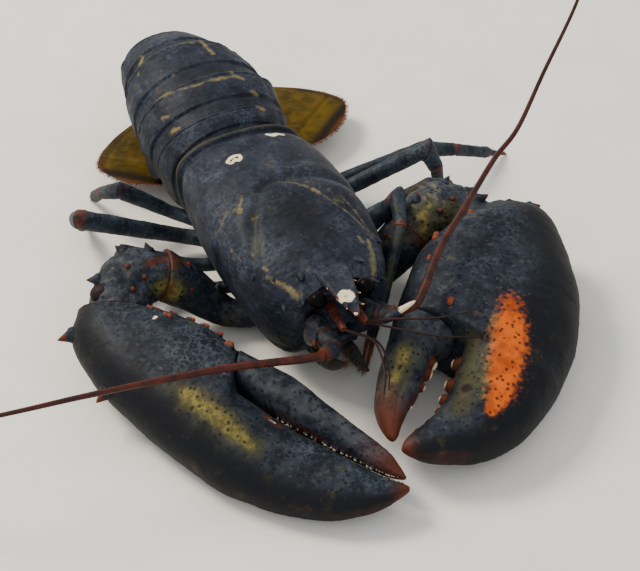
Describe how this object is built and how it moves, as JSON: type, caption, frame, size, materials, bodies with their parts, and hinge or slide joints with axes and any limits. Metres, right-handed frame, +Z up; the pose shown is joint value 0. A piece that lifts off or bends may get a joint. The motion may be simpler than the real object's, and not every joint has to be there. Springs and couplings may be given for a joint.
{
  "type": "american lobster model",
  "caption": "Still, life-size model of an american lobster resting on a floor, tail curled under, claws laid forward, antennae spread.",
  "frame": {"origin": "on the floor, under the middle of the whole animal's outline seen from above, antennae included", "axes": "+Z up from the floor; -Y is the way the head points; +X is the animal's left"},
  "size_m": [0.4546, 0.2816, 0.0965],
  "materials": {
    "shell": "hard shell, dark blue-black with blue-grey mottling and olive-yellow patches, damp satin",
    "tail_fan_shell": "thin shell, olive brown with a dark rim and an orange-brown fringe, satin",
    "antenna_shell": "ringed thin shell, red-brown, satin",
    "cornea": "black, glossy"
  },
  "bodies": {
    "root": {"abdomen_1": "shell", "abdomen_2": "shell", "abdomen_3": "shell", "abdomen_4": "shell", "abdomen_5": "shell", "abdomen_6": "shell", "antenna_base_left": "shell", "antenna_base_right": "shell", "antenna_left_far": "antenna_shell", "antenna_left_near": "antenna_shell", "antenna_right_far": "antenna_shell", "antenna_right_near": "antenna_shell", "antennule_left": "antenna_shell", "antennule_right": "antenna_shell", "carapace": "shell", "claw_left_arm": "shell", "claw_left_finger": "shell", "claw_left_palm": "shell", "claw_left_wrist": "shell", "claw_right_arm": "shell", "claw_right_finger": "shell", "claw_right_palm": "shell", "claw_right_wrist": "shell", "eye_left": "cornea", "eye_right": "cornea", "leg_1_left_carpus": "shell", "leg_1_left_merus": "shell", "leg_1_left_propodus": "shell", "leg_1_right_carpus": "shell", "leg_1_right_merus": "shell", "leg_1_right_propodus": "shell", "leg_2_left_carpus": "shell", "leg_2_left_merus": "shell", "leg_2_left_propodus": "shell", "leg_2_right_carpus": "shell", "leg_2_right_merus": "shell", "leg_2_right_propodus": "shell", "leg_3_left_carpus": "shell", "leg_3_left_merus": "shell", "leg_3_left_propodus": "shell", "leg_3_right_carpus": "shell", "leg_3_right_merus": "shell", "leg_3_right_propodus": "shell", "leg_4_left_carpus": "shell", "leg_4_left_merus": "shell", "leg_4_left_propodus": "shell", "leg_4_right_carpus": "shell", "leg_4_right_merus": "shell", "leg_4_right_propodus": "shell", "maxilliped_left": "shell", "maxilliped_right": "shell", "sternum": "shell", "telson": "tail_fan_shell", "uropod_inner_left": "tail_fan_shell", "uropod_inner_right": "tail_fan_shell", "uropod_outer_left": "tail_fan_shell", "uropod_outer_right": "tail_fan_shell"}
  },
  "joints": []
}
